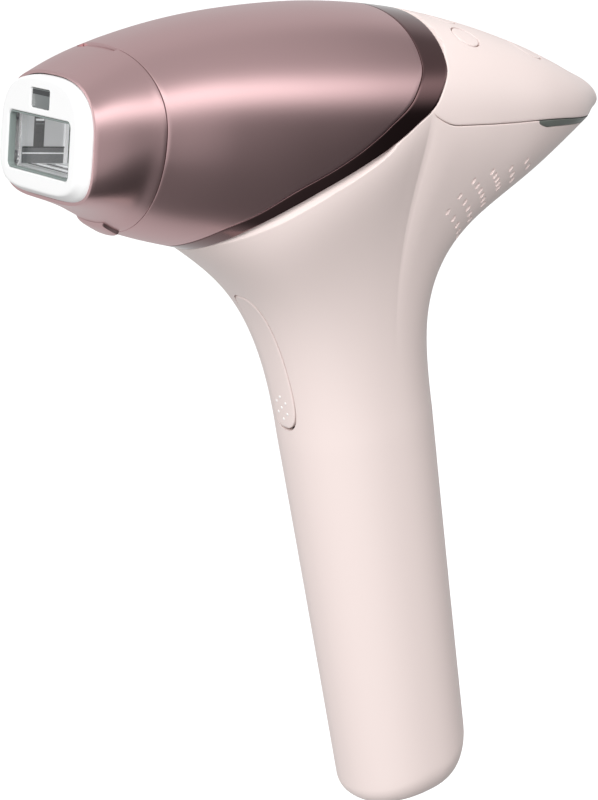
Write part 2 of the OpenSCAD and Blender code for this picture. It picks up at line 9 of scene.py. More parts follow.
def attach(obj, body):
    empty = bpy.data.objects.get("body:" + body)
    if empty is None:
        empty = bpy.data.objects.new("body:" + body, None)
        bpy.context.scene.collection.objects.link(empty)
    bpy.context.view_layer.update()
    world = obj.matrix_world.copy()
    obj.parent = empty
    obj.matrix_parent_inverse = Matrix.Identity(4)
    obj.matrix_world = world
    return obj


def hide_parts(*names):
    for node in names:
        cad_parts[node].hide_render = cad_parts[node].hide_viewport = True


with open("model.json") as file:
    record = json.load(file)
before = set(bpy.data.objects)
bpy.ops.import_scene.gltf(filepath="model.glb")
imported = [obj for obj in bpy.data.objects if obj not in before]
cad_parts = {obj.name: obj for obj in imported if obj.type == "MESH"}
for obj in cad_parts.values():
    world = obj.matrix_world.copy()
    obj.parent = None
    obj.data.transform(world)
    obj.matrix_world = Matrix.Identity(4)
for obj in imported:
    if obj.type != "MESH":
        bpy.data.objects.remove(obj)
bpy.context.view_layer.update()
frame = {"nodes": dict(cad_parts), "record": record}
NODES = frame["nodes"]
scene = bpy.context.scene

# ---------------------------------------------------------------- form, in mm, row frame
NOSE, WZ, WALL = 131.0, 181.0, 2.0
ST_POS = np.array([0, 10, 21, 40, 60, 80, 100, 120, 140, 160, 172, 180.0])
ST_HALF = np.array([21.7, 23.4, 25, 28.4, 31.2, 32.8, 32.6, 30.6, 26.6, 18.6, 11.35, 8.16])
ST_TOP = np.array([16.15, 22.4, 27.2, 32.6, 36.1, 37.9, 37.6, 34.9, 30.3, 24.28, 22.65, 16.9])
ST_LOW = np.array([-12.2, -15.4, -20.9, -25.2, -28.4, -30.4, -31.6, -31, -20, -3.2, 6.4, 10])
ST_MID = np.array([2, 3.2, 4.4, 6, 7.4, 8.6, 9.7, 10.4, 11.3, 11.3, 11.5, 10.7])
BAND_ANG = np.array([0, 60, 75, 84, 96, 104, 114, 126, 140, 160, 180.0])
BAND_REAR = np.array([101.5, 101.2, 98, 94.3, 82.9, 74.2, 64.3, 55.4, 48.5, 43.2, 42.3])
BAND_FRONT = np.array([92, 92.8, 89.7, 85.6, 75.2, 67.4, 57.6, 50, 42.6, 37.8, 37])
CORNER_ANG, CORNER_POS = 84.0, 94.3
TAIL_FROM, TAIL_END, TAIL_POW, TAIL_BULGE = 150.0, 173.0, 2.65, 14.9
TIP_GAP = 0.002
# section exponents over and under the middle line, and what the squarer nose adds over its length
POW_TOP, POW_LOW, NOSE_MORE_TOP, NOSE_MORE_LOW, NOSE_LEN = 2.25, 2.05, 0.48, 2.75, 18


def fair(x, X, Y, flat=False):
    x = np.asarray(x, float)
    n = len(X)
    m = np.zeros(n)
    m[1:-1] = (Y[2:] - Y[:-2]) / (X[2:] - X[:-2])
    if not flat:
        m[0] = (Y[1] - Y[0]) / (X[1] - X[0])
        m[-1] = (Y[-1] - Y[-2]) / (X[-1] - X[-2])
    i = np.clip(np.searchsorted(X, x, side="right") - 1, 0, n - 2)
    h = X[i + 1] - X[i]
    t = np.clip((x - X[i]) / h, 0, 1)
    t2, t3 = t * t, t * t * t
    return ((2 * t3 - 3 * t2 + 1) * Y[i] + (t3 - 2 * t2 + t) * h * m[i]
            + (3 * t2 - 2 * t3) * Y[i + 1] + (t3 - t2) * h * m[i + 1])


def spow(x, n):
    return np.sign(x) * np.abs(x) ** n


def cosd(a):
    return np.cos(np.radians(a))


def sind(a):
    return np.sin(np.radians(a))


def lerp(a, b, t):
    return a + (b - a) * t


def skin(s, a, t=0.0):
    """Head skin: s back from the window face, a degrees from the top, t inward."""
    s, a, t = np.broadcast_arrays(np.asarray(s, float), np.asarray(a, float), np.asarray(t, float))
    u = np.clip((s - TAIL_FROM) / (TAIL_END - t - TAIL_FROM), 0, 1)
    k = np.sqrt(np.maximum(0, 1 - u ** TAIL_POW))
    c, m = cosd(a), fair(s, ST_POS, ST_MID)
    w = (fair(s, ST_POS, ST_HALF) - t) * k
    h = np.where(c >= 0, (fair(s, ST_POS, ST_TOP) - t - m) * k, (m - fair(s, ST_POS, ST_LOW) - t) * k)
    nose = 1 - np.clip(s / NOSE_LEN, 0, 1)
    n = np.where(c >= 0, POW_TOP + NOSE_MORE_TOP * nose ** 1.1, POW_LOW + NOSE_MORE_LOW * nose ** 1.45)
    y = s - NOSE + TAIL_BULGE * np.sqrt(k) * (1 - k) * np.maximum(0, c) ** 0.58
    return np.stack([w * spow(sind(a), 2 / n), y, m + h * spow(c, 2 / n) + WZ], -1)


def half_turn(a):
    a = np.asarray(a, float) % 360
    return np.where(a > 180, 360 - a, a)


def band_r(a):
    return fair(half_turn(a), BAND_ANG, BAND_REAR, True)


def band_f(a):
    return fair(half_turn(a), BAND_ANG, BAND_FRONT, True)


def seam_s(a):
    return 21 - 5.5 * np.maximum(0, cosd(a)) ** 2


def seam_ang(s):
    u = np.clip((np.asarray(s, float) - CORNER_POS) / 9.5, 0, 1)
    return CORNER_ANG + 6 * u * (2 - u)


RAKE, FLARE = math.radians(14.8), 111.0
# width over depth of the handle, and how square its section is
HANDLE_RATIO, HANDLE_POW = 0.83, 2.2
HAN_POS = np.array([0, 60, FLARE, FLARE + 40])
HAN_HALF = np.array([19.2, 20.6, 22, 23.3])
TH_CORNER = 180 - CORNER_ANG
LEN_TOP, LEN_LOW = (23, 15, 56), (38.9, 50.6, 73.2)
FRONT_DIP, REAR_DIP = math.radians(29.3), math.radians(27.5)
SOCKET_R = 8.0


def frs(th, L3):
    c = cosd(th)
    return L3[1] + (np.where(c > 0, L3[0], L3[2]) - L3[1]) * c * c


def on_handle(x, v, q):
    x, v, q = np.broadcast_arrays(x, v, q)
    return np.stack([x, v * math.cos(RAKE) - q * math.sin(RAKE),
                     v * math.sin(RAKE) + q * math.cos(RAKE)], -1)


def hsec(q, th, t, inset=0.0):
    a = fair(q, HAN_POS, HAN_HALF)
    return on_handle((a * HANDLE_RATIO - t - inset) * spow(sind(th), 2 / HANDLE_POW),
                     -(a - t - inset) * spow(cosd(th), 2 / HANDLE_POW), q)


def rim_pt(th, t, g):
    th, t = np.broadcast_arrays(np.asarray(th, float), np.asarray(t, float))
    lo = np.minimum(th, TH_CORNER)
    p = skin(band_r(180 - lo) + g, 180 - lo, t)
    u = np.clip((th - TH_CORNER) / (180 - TH_CORNER), 0, 1)
    s = lerp(CORNER_POS + g, TAIL_END - t - TIP_GAP - g, np.sin(np.pi / 2 * u))
    p2 = skin(s, seam_ang(s), t)
    p2[..., 2] -= g
    p2[..., 0] = np.where(th >= 180, 0, p2[..., 0])
    return np.where((th > TH_CORNER)[..., None], p2, p)


def flare(th, v, t=0.0, g=0.2):
    """Body skin: th from the front (0) to the rear (180), v from the rim down to the handle."""
    th, v, t = np.broadcast_arrays(np.asarray(th, float), np.asarray(v, float), np.asarray(t, float))
    p0, p3, c = rim_pt(th, t, g), hsec(FLARE, th, t), cosd(th)
    wf = np.where(c > 0, np.abs(c) ** 1.6, 0)[..., None]
    wr = np.where(c < 0, np.abs(c) ** 2.2, 0)[..., None]
    t0 = (wf * np.array([0, math.cos(FRONT_DIP), -math.sin(FRONT_DIP)])
          + wr * np.array([0, -math.cos(REAR_DIP), -math.sin(REAR_DIP)])
          + (1 - wf - wr) * np.array([0, 0, -1.0]))
    t0 /= np.linalg.norm(t0, axis=-1, keepdims=True)
    p1 = p0 + frs(th, LEN_TOP)[..., None] * t0
    p2 = p3 + frs(th, LEN_LOW)[..., None] * on_handle(0.0, 0.0, 1.0)
    v = v[..., None]
    w = 1 - v
    return w ** 3 * p0 + 3 * w * w * v * p1 + 3 * w * v * v * p2 + v ** 3 * p3


def end_h(th):
    c = cosd(th)
    return np.where(c > 0, 9 - 3 * c, 9 + 7 * c * c)


def end_i(th):
    c = cosd(th)
    return np.where(c > 0, 6.0, 6 + 3 * c * c)


# ---------------------------------------------------------------- mesh helpers
def mesh_obj(name, V, F, mat, sharp=40):
    me = bpy.data.meshes.new(name)
    me.from_pydata((np.asarray(V) * 0.001).tolist(), [], F)
    me.validate()
    me.update()
    me.shade_smooth()
    me.set_sharp_from_angle(angle=math.radians(sharp))
    if mat is not None:
        me.materials.append(mat)
    o = bpy.data.objects.new(name, me)
    scene.collection.objects.link(o)
    return o


def grid_faces(nr, nc, wrap_r, wrap_c, base=0, flip=False):
    out = []
    for i in range(nr if wrap_r else nr - 1):
        for j in range(nc if wrap_c else nc - 1):
            a, b = i * nc + j, i * nc + (j + 1) % nc
            c, d = ((i + 1) % nr) * nc + (j + 1) % nc, ((i + 1) % nr) * nc + j
            f = [a + base, b + base, c + base, d + base]
            out.append(f[::-1] if flip else f)
    return out


def volume_sign(V, F):
    v = 0.0
    for f in F:
        for k in range(1, len(f) - 1):
            v += np.dot(V[f[0]], np.cross(V[f[k]], V[f[k + 1]]))
    return v


def ring_shell(name, rows, wrap, mat, sharp=40):
    """rows is a closed loop of point rows; wrap closes each row, else the ends are capped."""
    R = np.asarray(rows, float)
    nr, nc = R.shape[:2]
    V = R.reshape(-1, 3)
    F = grid_faces(nr, nc, True, wrap)
    if not wrap:
        F.append([i * nc for i in range(nr)])
        F.append([i * nc + nc - 1 for i in range(nr)][::-1])
    if volume_sign(V, F) < 0:
        F = [f[::-1] for f in F]
    return mesh_obj(name, V, F, mat, sharp)


def edge_arc(r, steps=(0, 22, 45, 68, 90)):
    """(distance from the edge, depth) pairs of a rounded edge, from the side face to the skin."""
    return [(r * (1 - math.cos(math.radians(b))), r * (1 - math.sin(math.radians(b)))) for b in steps]


# a cut vertex this near the old surface, in m, and a face this well aligned keep the old shading
ON_SURFACE, SAME_FACING = 0.00002, 0.94


def cut(obj, cutters):
    """Takes the joined cutters out of obj and keeps its own smooth shading on what is left."""
    mod = obj.modifiers.new("cut", "BOOLEAN")
    mod.operation, mod.solver, mod.object = "DIFFERENCE", "EXACT", cutters
    dg = bpy.context.evaluated_depsgraph_get()
    new = bpy.data.meshes.new_from_object(obj.evaluated_get(dg))
    obj.modifiers.remove(mod)
    old = obj.data
    polys = [tuple(p.vertices) for p in old.polygons]
    vs = [v.co.copy() for v in old.vertices]
    src = BVHTree.FromPolygons(vs, polys)
    vn = [v.vector.copy() for v in old.vertex_normals]
    obj.data = new
    new.shade_smooth()
    new.set_sharp_from_angle(angle=math.radians(35))
    cn = [c.vector.copy() for c in new.corner_normals]
    fn = [p.normal.copy() for p in new.polygons]
    cache = {}
    for p in new.polygons:
        for li in p.loop_indices:
            vi = new.loops[li].vertex_index
            if vi not in cache:
                hit = src.find_nearest(new.vertices[vi].co)
                n = None
                if hit[0] is not None and hit[3] < ON_SURFACE:
                    ids = polys[hit[2]]
                    ws = [1.0 / max(1e-9, (hit[0] - vs[k]).length) ** 2 for k in ids]
                    n = sum((vn[k] * w for k, w in zip(ids, ws)), Vector()) / sum(ws)
                    n.normalize()
                cache[vi] = n
            n = cache[vi]
            if n is not None and n.dot(fn[p.index]) > SAME_FACING:
                cn[li] = n
    new.normals_split_custom_set([tuple(c) for c in cn])
    bpy.data.objects.remove(cutters)
    return obj


def join(objs):
    """One mesh object out of several, in world space."""
    V, F, off = [], [], 0
    for o in objs:
        V += [tuple(o.matrix_world @ v.co) for v in o.data.vertices]
        F += [[i + off for i in p.vertices] for p in o.data.polygons]
        off += len(o.data.vertices)
        bpy.data.objects.remove(o)
    me = bpy.data.meshes.new("join")
    me.from_pydata(V, [], F)
    me.update()
    o = bpy.data.objects.new("join", me)
    scene.collection.objects.link(o)
    return o


def ball(p, r, squash=(1, 1, 1), seg=20, rot=None):
    """A small closed ellipsoid, mm."""
    V, F = [], []
    nr = seg // 2
    for i in range(1, nr):
        for j in range(seg):
            a, b = math.pi * i / nr, 2 * math.pi * j / seg
            V.append((math.sin(a) * math.cos(b), math.sin(a) * math.sin(b), math.cos(a)))
    F = [f[::-1] for f in grid_faces(nr - 1, seg, False, True)]
    V += [(0, 0, 1), (0, 0, -1)]
    top, low = len(V) - 2, len(V) - 1
    F += [[top, j, (j + 1) % seg] for j in range(seg)]
    b = (nr - 2) * seg
    F += [[low, b + (j + 1) % seg, b + j] for j in range(seg)]
    A = np.array(V) * r * np.array(squash)
    if rot is not None:
        A = A @ np.asarray(rot).T
    return mesh_obj("ball", A + np.asarray(p), F, None)


# ---------------------------------------------------------------- materials
def mat_base(name, color, metallic=0.0, rough=0.5, **extra):
    m = bpy.data.materials.new(name)
    m.use_nodes = True
    b = m.node_tree.nodes["Principled BSDF"]
    b.inputs["Base Color"].default_value = (*color, 1)
    b.inputs["Metallic"].default_value = metallic
    b.inputs["Roughness"].default_value = rough
    for k, v in extra.items():
        b.inputs[k.replace("_", " ")].default_value = v
    return m


def grain(m, scale, bump, rough_lo=None, rough_hi=None, detail=3.0, tint=0.0, dist=0.0002):
    """Fine procedural grain: bump, and if asked a slow change of roughness and colour."""
    nt = m.node_tree
    b = nt.nodes["Principled BSDF"]
    co = nt.nodes.new("ShaderNodeTexCoord")
    no = nt.nodes.new("ShaderNodeTexNoise")
    no.inputs["Scale"].default_value = scale
    no.inputs["Detail"].default_value = detail
    nt.links.new(co.outputs["Object"], no.inputs["Vector"])
    if bump:
        bu = nt.nodes.new("ShaderNodeBump")
        bu.inputs["Strength"].default_value = bump
        bu.inputs["Distance"].default_value = dist
        nt.links.new(no.outputs["Fac"], bu.inputs["Height"])
        nt.links.new(bu.outputs["Normal"], b.inputs["Normal"])
    if rough_lo is not None or tint:
        slow = nt.nodes.new("ShaderNodeTexNoise")
        slow.inputs["Scale"].default_value = scale * 0.03
        slow.inputs["Detail"].default_value = 2.0
        nt.links.new(co.outputs["Object"], slow.inputs["Vector"])
    if rough_lo is not None:
        mr = nt.nodes.new("ShaderNodeMapRange")
        mr.inputs["To Min"].default_value = rough_lo
        mr.inputs["To Max"].default_value = rough_hi
        nt.links.new(slow.outputs["Fac"], mr.inputs["Value"])
        nt.links.new(mr.outputs["Result"], b.inputs["Roughness"])
    if tint:
        base = tuple(b.inputs["Base Color"].default_value)
        mx = nt.nodes.new("ShaderNodeMixRGB")
        mx.inputs["Color1"].default_value = base
        mx.inputs["Color2"].default_value = (*[c * (1 - tint) for c in base[:3]], 1)
        nt.links.new(slow.outputs["Fac"], mx.inputs["Fac"])
        nt.links.new(mx.outputs["Color"], b.inputs["Base Color"])
    return m


def rgb(r, g, b):
    """sRGB 0..255 to linear."""
    out = []
    for c in (r, g, b):
        c /= 255.0
        out.append(c / 12.92 if c <= 0.04045 else ((c + 0.055) / 1.055) ** 2.4)
    return tuple(out)


ROSE = grain(mat_base("rose_metallic", (0.72, 0.485, 0.495), 1.0, 0.3), 900, 0.03, 0.28, 0.32, tint=0.02)
BAND = mat_base("gloss_trim", rgb(128, 99, 100), 1.0, 0.09, Coat_Weight=0.3, Coat_Roughness=0.05)
PALE = grain(mat_base("pale_shell", rgb(241, 225, 221), 0.0, 0.33, Specular_IOR_Level=0.45),
             700, 0.03, 0.31, 0.35, tint=0.015)
WHITE = grain(mat_base("white_frame", rgb(246, 246, 246), 0.0, 0.38), 700, 0.03, 0.36, 0.4, tint=0.01)
SEAL = grain(mat_base("gasket", rgb(140, 150, 147), 0.0, 0.6), 900, 0.06, 0.56, 0.64)
GLASS = mat_base("clear_glass", (1, 1, 1), 0.0, 0.0, Transmission_Weight=1.0, IOR=1.45)
LENS = grain(mat_base("lens_grey", rgb(112, 117, 112), 0.0, 0.3), 800, 0.02, 0.28, 0.33)
PANE = mat_base("sensor_dark", rgb(104, 109, 109), 0.0, 0.12, Coat_Weight=0.6, Coat_Roughness=0.05)
PANE_DARK = mat_base("sensor_dark_bar", rgb(48, 50, 52), 0.0, 0.2)
GREY = grain(mat_base("grey_plastic", rgb(92, 94, 98), 0.0, 0.5), 800, 0.05, 0.46, 0.54)
RUBBER = grain(mat_base("dark_rubber", rgb(40, 40, 42), 0.0, 0.7), 900, 0.08, 0.66, 0.76)
DARK = grain(mat_base("dark_plastic", rgb(30, 30, 32), 0.0, 0.45), 800, 0.05, 0.42, 0.5)
MIRROR = mat_base("mirror", rgb(232, 234, 238), 1.0, 0.06)
FILTER = mat_base("filter_glass", rgb(244, 214, 160), 0.0, 0.02, Transmission_Weight=1.0, IOR=1.5)
ALU = grain(mat_base("bare_aluminium", rgb(200, 202, 205), 1.0, 0.35), 500, 0.08, 0.3, 0.42)
BOARD = grain(mat_base("circuit_board", rgb(28, 92, 56), 0.0, 0.3), 700, 0.08, 0.26, 0.36, tint=0.15)
STEEL = grain(mat_base("steel", rgb(205, 206, 210), 1.0, 0.22), 600, 0.04, 0.18, 0.28)
SLEEVE = grain(mat_base("dark_sleeve", rgb(38, 40, 52), 0.0, 0.25), 300, 0.03, 0.2, 0.3)
CELL = grain(mat_base("cell_sleeve", rgb(60, 88, 140), 0.0, 0.25), 300, 0.03, 0.2, 0.3, tint=0.1)
FILM = grain(mat_base("cable_film", rgb(214, 196, 140), 0.0, 0.3), 300, 0.04, 0.26, 0.36)
DOT = mat_base("raised_dots", rgb(250, 248, 246), 0.0, 0.35)
# the duct lining glows faintly: painted light standing in for the light inside the duct
DUCT_GLOW = grain(mat_base("duct_white_metal_painted_glow", rgb(222, 224, 226), 0.25, 0.22, Emission_Color=(1, 1, 1, 1),
             Emission_Strength=0.16), 300, 0.02, 0.2, 0.26)
# glowing pale strips inside the duct: painted highlights
PAINTED_HIGHLIGHT_GLOW = mat_base("duct_painted_highlight_glow", rgb(240, 242, 244), 0.0, 0.2,
                  Emission_Color=(1, 1, 1, 1), Emission_Strength=0.3)
# mid grey and near-black strips inside the duct: painted shade
SHADE = mat_base("duct_painted_shade_mid", rgb(128, 130, 132), 0.3, 0.15)
PAINTED_SHADE_DARK = mat_base("duct_painted_shade_dark", rgb(34, 35, 37), 0.2, 0.15)
SLOT_MAT = {"rose_metallic": ROSE, "gloss_trim": BAND, "pale_shell": PALE, "white_frame": WHITE,
            "gasket": SEAL, "clear_glass": GLASS, "sensor_dark": PANE, "mirror": MIRROR,
            "lens_grey": LENS, "grey_plastic": GREY, "dark_rubber": RUBBER, "dark_plastic": DARK,
            "filter_glass": FILTER, "bare_aluminium": ALU, "circuit_board": BOARD, "steel": STEEL,
            "dark_sleeve": SLEEVE, "cell_sleeve": CELL, "cable_film": FILM}
for part in frame["record"]["subparts"]:
    node = NODES.get(part["node"])
    if node is not None:
        node.data.materials.clear()
        node.data.materials.append(SLOT_MAT[part["material_slot"]])
# the light duct gets the glowing lining, painted light
NODES["light_duct"].data.materials[0] = DUCT_GLOW


def place(obj, body, slot, *nodes):
    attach(obj, body)
    if nodes:
        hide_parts(*nodes)
    return obj


# ---------------------------------------------------------------- head
COLS = 288
RA = np.arange(COLS) * 360.0 / COLS


def skin_ring(name, s0, s1, wall0, wall1, mat, r0=0.25, r1=0.25, n=40):
    """Closed ring of the head skin between two edges (s as arrays over RA) with rounded outer edges."""
    rows = [skin(s0 + e, RA, t) for e, t in edge_arc(r0)]
    for i in range(1, n):
        rows.append(skin(lerp(s0 + r0, s1 - r1, i / n), RA))
    rows += [skin(s1 - e, RA, t) for e, t in edge_arc(r1)[::-1]]
    m = 10
    for i in range(m + 1):
        u = 1 - i / m
        rows.append(skin(lerp(s0, s1, u), RA, lerp(wall0, wall1, u)))
    return ring_shell(name, rows, True, mat)


ATT_FRONT = 3.0
# front attachment
rows = [skin(ATT_FRONT + e, RA, t) for e, t in edge_arc(0.1)]
for i in range(1, 20):
    rows.append(skin(lerp(ATT_FRONT + 0.1, seam_s(RA) - 0.12, i / 20), RA))
rows += [skin(seam_s(RA) - e, RA, t) for e, t in edge_arc(0.12)[::-1]]
for i in range(13):
    s = lerp(ATT_FRONT, seam_s(RA), 1 - i / 12)
    rows.append(skin(s, RA, 0.8 + 1.2 * np.clip((s - 3) / 6, 0, 1)))
att = ring_shell("attachment_skin", rows, True, ROSE)
# shallow finger notch on top, just ahead of the seam
NOTCH_REAR, NOTCH_LEN, NOTCH_HALF_ANG, NOTCH_DEPTH = 16.6, 3.4, 17.6, 0.7
NOTCH = np.linspace(-1, 1, 41)
drop = np.linspace(0, 1, 9)[:, None]
notch_s = lerp(NOTCH_REAR, NOTCH_REAR - NOTCH_LEN * (1 - np.abs(NOTCH) ** 5) ** 0.4 - 0.02, drop)
notch_side = np.stack([np.sign(NOTCH), NOTCH * 0 + 1, NOTCH * 0 + 1], -1)
NOTCH_CUT = [skin(notch_s, np.abs(NOTCH_HALF_ANG * NOTCH)[None] + 0 * notch_s, t) * notch_side
             for t in (-1.0, NOTCH_DEPTH)]

# catch under the attachment: stations from the front back, and how far it stands proud at each
CATCH_HALF_ANG, CATCH_EDGE = 13.6, 0.03
ss = np.array([15.6, 15.75, 15.95, 16.2, 16.5, 16.9, 18.4, 19.8, 20.4, 20.75, 20.95])
dr = np.array([0.05, 0.45, 0.75, 0.92, 1.0, 1.05, 1.1, 1.15, 1.1, 0.85, 0.1])
fa = np.linspace(-1, 1, 25)
catch_ang = 180 - np.abs(CATCH_HALF_ANG * fa)
O = np.array([skin(s, catch_ang, -(CATCH_EDGE + (d - CATCH_EDGE) * (1 - np.abs(fa) ** 8) ** 0.5))
              for s, d in zip(ss, dr)])
O[..., 0] *= np.where(fa < 0, -1, 1)
I = np.array([skin(s, catch_ang, -CATCH_EDGE) for s in ss])
I[..., 0] *= np.where(fa < 0, -1, 1)


def patch_shell(name, O, I, mat, sharp=35):
    """Closed solid between two point grids of the same size."""
    nr, nc = O.shape[:2]
    n = nr * nc
    V = np.concatenate([O.reshape(-1, 3), I.reshape(-1, 3)])
    F = grid_faces(nr, nc, False, False) + grid_faces(nr, nc, False, False, base=n, flip=True)
    F += [[j, n + j, n + j + 1, j + 1] for j in range(nc - 1)]
    a = (nr - 1) * nc
    F += [[a + j + 1, n + a + j + 1, n + a + j, a + j] for j in range(nc - 1)]
    F += [[i * nc, (i + 1) * nc, n + (i + 1) * nc, n + i * nc] for i in range(nr - 1)]
    b = nc - 1
    F += [[i * nc + b, n + i * nc + b, n + (i + 1) * nc + b, (i + 1) * nc + b] for i in range(nr - 1)]
    if volume_sign(V, F) < 0:
        F = [f[::-1] for f in F]
    return mesh_obj(name, V, F, mat, sharp)


place(patch_shell("release_tab", O, I, ROSE), "attachment", "rose_metallic", "release_catch")
cut(att, patch_shell("notch", NOTCH_CUT[0], NOTCH_CUT[1], None))
place(att, "attachment", "rose_metallic", "attachment_shell")

# head cover and band
hc = skin_ring("head_cover_skin", seam_s(RA) + 0.15, band_f(RA) - 0.1, WALL, WALL, ROSE, 0.12, 0.3, 60)
place(hc, "body", "rose_metallic", "head_cover")
band = skin_ring("band_skin", band_f(RA), band_r(RA) - 0.1, WALL, WALL, BAND, 0.25, 0.35, 12)
place(band, "body", "gloss_trim", "trim_band")

# ---------------------------------------------------------------- body
SCOOP = (28.0, 85.0)


def scoop_w(th):
    x = np.clip((th - SCOOP[0]) / (SCOOP[1] - SCOOP[0]), 0, 1)
    return 2.25 * np.minimum(1, x / 0.45) ** 0.75 * np.sqrt(np.maximum(0, 1 - x ** 10))


def scoop_t(th, d):
    w = np.maximum(scoop_w(th), 1e-6)
    return 1.55 * np.minimum(1, scoop_w(th) / 1.2) * (1 - np.clip(d / w, 0, 1) ** 4)


# body columns: even round the front, then even steps along the rear seam, closer again at the tip
TIP_SHARE = 0.9
tip_angles = np.linspace(math.degrees(math.asin(TIP_SHARE)), 90, 24)
along = np.concatenate([np.linspace(0, TIP_SHARE, 46)[:-1], np.sin(np.radians(tip_angles))])
rear_th = TH_CORNER + (180 - TH_CORNER) * np.arcsin(np.clip(along, 0, 1)) / (math.pi / 2)
TH = np.concatenate([np.arange(0, 30, 1.5), np.arange(30, 96, 0.75), rear_th])
near = [0.25, 0.5, 0.75, 1.0, 1.25, 1.5, 1.75, 1.95, 2.1, 2.2, 2.3, 2.5, 2.8, 3.3, 4.0]
rim_v = 1 / (3 * frs(TH, LEN_TOP))
rows = []
for e, t in edge_arc(0.25):
    rows.append(flare(TH, e * rim_v, np.maximum(t, scoop_t(TH, e))))
for d in near[1:]:
    rows.append(flare(TH, d * rim_v, scoop_t(TH, d)))
for i in range(1, 90):
    rows.append(flare(TH, lerp(4.0 * rim_v, 1.0, i / 90)))
for i in range(0, 40):
    rows.append(hsec(lerp(FLARE, end_h(TH), i / 40), TH, 0))
for i in range(0, 25):
    b = math.pi / 2 * i / 24
    rows.append(hsec(end_h(TH) * (1 - math.sin(b)), TH, 0, end_i(TH) * (1 - math.cos(b))))
rows.append(on_handle((SOCKET_R + 0.3) * sind(TH), -(SOCKET_R + 0.3) * cosd(TH), 0.0))
rows.append(on_handle((SOCKET_R + 0.1) * sind(TH), -(SOCKET_R + 0.1) * cosd(TH), 0.2))
rows.append(on_handle((SOCKET_R + 0.1) * sind(TH), -(SOCKET_R + 0.1) * cosd(TH), WALL))
for i in range(8, -1, -1):
    b = math.pi / 2 * i / 8
    rows.append(hsec(WALL + (end_h(TH) - WALL) * (1 - math.sin(b)), TH, WALL,
                     (end_i(TH) - WALL) * (1 - math.cos(b))))
for i in range(11, -1, -1):
    rows.append(hsec(lerp(FLARE, end_h(TH), i / 12), TH, WALL))
for i in range(29, -1, -1):
    rows.append(flare(TH, i / 30, WALL))
BODY_ROWS = rows

VENTS = [(109, 0.408, 126, 0.522, 5), (110.3, 0.335, 123.9, 0.439, 5), (111.9, 0.259, 123.9, 0.362, 6),
         (116.4, 0.206, 124.1, 0.276, 5), (122.7, 0.183, 128.1, 0.232, 3), (127.6, 0.144, 130.9, 0.165, 2)]


def capsule(p, q, r, n, seg=16, rings=5):
    """Closed capsule between p and q, flattened end view irrelevant; n fixes the roll."""
    p, q = np.asarray(p), np.asarray(q)
    z = (q - p) / np.linalg.norm(q - p)
    x = np.cross(n, z)
    x /= np.linalg.norm(x)
    y = np.cross(z, x)
    V, ring = [], []
    for c, sgn, order in ((p, -1, range(1, rings + 1)), (q, 1, range(rings, 0, -1))):
        for k in order:
            b = math.pi / 2 * k / rings
            V += [c + r * (math.sin(b) * (math.cos(a) * x + math.sin(a) * y) + sgn * math.cos(b) * z)
                  for a in np.linspace(0, 2 * math.pi, seg, endpoint=False)]
    nr = 2 * rings
    F = grid_faces(nr, seg, False, True)
    V += [p - r * z, q + r * z]
    a, b = len(V) - 2, len(V) - 1
    F += [[a, (j + 1) % seg, j] for j in range(seg)]
    o = (nr - 1) * seg
    F += [[b, o + j, o + (j + 1) % seg] for j in range(seg)]
    V = np.array(V)
    if volume_sign(V, F) < 0:
        F = [f[::-1] for f in F]
    return V, F


def vent_cutters(sx):
    out = []
    for t0, v0, t1, v1, k in VENTS:
        for i in range(k):
            th, v = lerp(t0, t1, i / (k - 1)), lerp(v0, v1, i / (k - 1))
            p, q = flare(th, v, 0.05), flare(th, v + 0.012, 0.05)
            n = flare(th, v, -1) - flare(th, v, 0)
            V, F = capsule(p, q, 0.62, n)
            V = V * np.array([sx, 1, 1])
            out.append(mesh_obj("vent", V, F if sx > 0 else [f[::-1] for f in F], None))
    return out


TRIG_V0, TRIG_V1 = 0.404, 0.957


def trig_th(w):
    return (10.3 + 4.5 * w) * np.maximum(0, 1 - np.abs(2 * w - 1) ** np.where(w < 0.5, 5, 9)) ** (1 / 2.2)


def trig_grid(t_fn, grow_th=0.0, grow_v=0.0, n=60, m=28):
    w = 0.5 - 0.5 * np.cos(np.pi * np.arange(n + 1) / n)
    f = np.sin(np.pi / 2 * np.linspace(-1, 1, 2 * m + 1))
    W, Fq = np.meshgrid(w, f, indexing="ij")
    th = (trig_th(W) + grow_th) * Fq
    P = flare(np.abs(th), lerp(TRIG_V0 - grow_v, TRIG_V1 + grow_v, W), t_fn(W, Fq))
    P[..., 0] *= np.where(th < 0, -1, 1)
    return P


def opening(sharp=35):
    return patch_shell("opening", trig_grid(lambda w, f: w * 0 - 1.5, 0.9, 0.006),
                       trig_grid(lambda w, f: w * 0 + 3.5, 0.9, 0.006), None, sharp)


LENS_TH, LENS_DROP = 125.0, 2.0


def lens_v(th, d):
    return d / (3 * frs(th, LEN_TOP))


def slant(d):
    """How far the strip's front end leans back at a drop d, in degrees."""
    return 3.4 * np.clip(d / LENS_DROP, 0, 1) ** 2.5


def strip_grid(th0, t_fn, d0, d1, sx, n=60, m=16):
    d = np.linspace(d0, d1, m + 1)
    D, Q = np.meshgrid(d, np.linspace(0, 1, n + 1), indexing="ij")
    T = lerp(th0 + slant(D), 180, Q)
    P = flare(T, lens_v(T, D), t_fn(T, D))
    return P * np.array([sx, 1, 1])


for side, sx in (("right", 1), ("left", -1)):
    R = [r * np.array([sx, 1, 1]) for r in BODY_ROWS]
    for r in R:
        r[0, 0] = 0
        r[-1, 0] = 0
    sh = ring_shell("body_skin_" + side, R, False, PALE)
    cs = vent_cutters(sx)
    cs.append(opening())
    lens_outer = strip_grid(LENS_TH - 0.5, lambda t, d: t * 0 - 0.6, -1.2, LENS_DROP + 0.12, sx)
    lens_inner = strip_grid(LENS_TH - 0.5, lambda t, d: t * 0 + 3.0, -1.2, LENS_DROP + 0.12, sx)
    cs.append(patch_shell("lens_cut", lens_outer, lens_inner, None))
    cut(sh, join(cs))
    place(sh, "body", "pale_shell", "body_shell_" + side)

